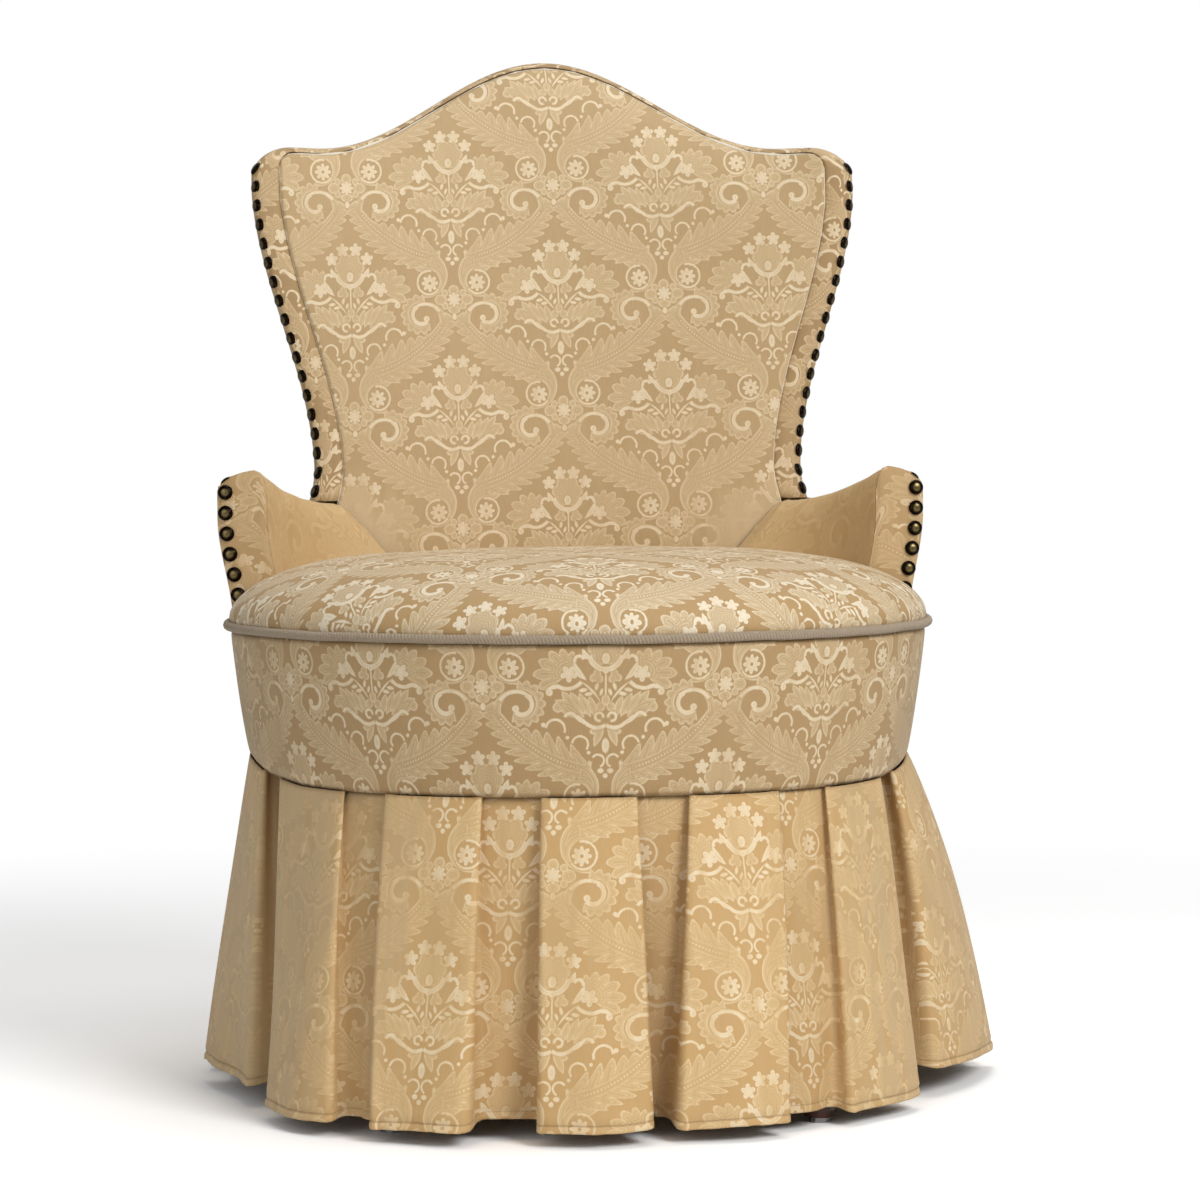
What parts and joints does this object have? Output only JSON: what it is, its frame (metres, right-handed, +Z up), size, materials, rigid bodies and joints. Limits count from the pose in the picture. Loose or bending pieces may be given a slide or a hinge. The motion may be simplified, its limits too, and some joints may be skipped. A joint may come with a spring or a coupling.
{
  "type": "upholstered cocktail chair",
  "caption": "Upholstered cocktail chair with a round sprung seat, camel-back barrel back, short nailed arms and a box-pleated skirt over splayed wooden legs.",
  "frame": {"origin": "on the floor, at the centre of the chair's outline seen from above", "axes": "+Z up, -Y towards the front of the seat, +X towards the sitter's left, which is the viewer's right from the front"},
  "size_m": [0.6739, 0.6974, 0.903],
  "materials": {
    "damask": "woven satin damask",
    "border_cloth": "woven satin damask",
    "cord_cloth": "ribbed",
    "frame_wood": "sawn",
    "leg_wood": "dark polish",
    "stuffing": "felted",
    "hessian": "plain weave",
    "webbing": "herringbone weave",
    "dust_cloth": "plain weave",
    "spring_steel": "drawn wire",
    "glide_steel": "satin",
    "nail_brass": "antiqued"
  },
  "bodies": {
    "root": {"arm_facing_left": "border_cloth", "arm_facing_right": "border_cloth", "arm_nails_left": "nail_brass", "arm_nails_right": "nail_brass", "arm_post_left": "frame_wood", "arm_post_right": "frame_wood", "arm_rail_left": "frame_wood", "arm_rail_right": "frame_wood", "arm_stuffing_left": "stuffing", "arm_stuffing_right": "stuffing", "back_border_crest": "border_cloth", "back_border_left": "border_cloth", "back_border_right": "border_cloth", "back_nails_left": "nail_brass", "back_nails_right": "nail_brass", "back_post_left": "frame_wood", "back_post_right": "frame_wood", "back_webbing": "webbing", "crest_rail": "frame_wood", "dust_cover": "dust_cloth", "glide_front_left": "glide_steel", "glide_front_right": "glide_steel", "glide_rear_left": "glide_steel", "glide_rear_right": "glide_steel", "inside_arm_cover_left": "damask", "inside_arm_cover_right": "damask", "inside_back_cover": "damask", "inside_back_stuffing": "stuffing", "leg_front_left": "leg_wood", "leg_front_right": "leg_wood", "leg_rear_left": "leg_wood", "leg_rear_right": "leg_wood", "middle_rail": "frame_wood", "outside_arm_cover_left": "damask", "outside_arm_cover_right": "damask", "outside_back_cover": "damask", "piping_cord": "cord_cloth", "pleated_skirt": "damask", "seat_band": "damask", "seat_cover": "damask", "seat_rail_back": "frame_wood", "seat_rail_front": "frame_wood", "seat_rail_left": "frame_wood", "seat_rail_right": "frame_wood", "seat_spring_1": "spring_steel", "seat_spring_2": "spring_steel", "seat_spring_3": "spring_steel", "seat_spring_4": "spring_steel", "seat_spring_5": "spring_steel", "seat_stuffing": "stuffing", "seat_webbing_cross_1": "webbing", "seat_webbing_cross_2": "webbing", "seat_webbing_cross_3": "webbing", "seat_webbing_long_1": "webbing", "seat_webbing_long_2": "webbing", "seat_webbing_long_3": "webbing", "spring_hessian": "hessian", "stay_rail": "frame_wood"}
  },
  "joints": []
}
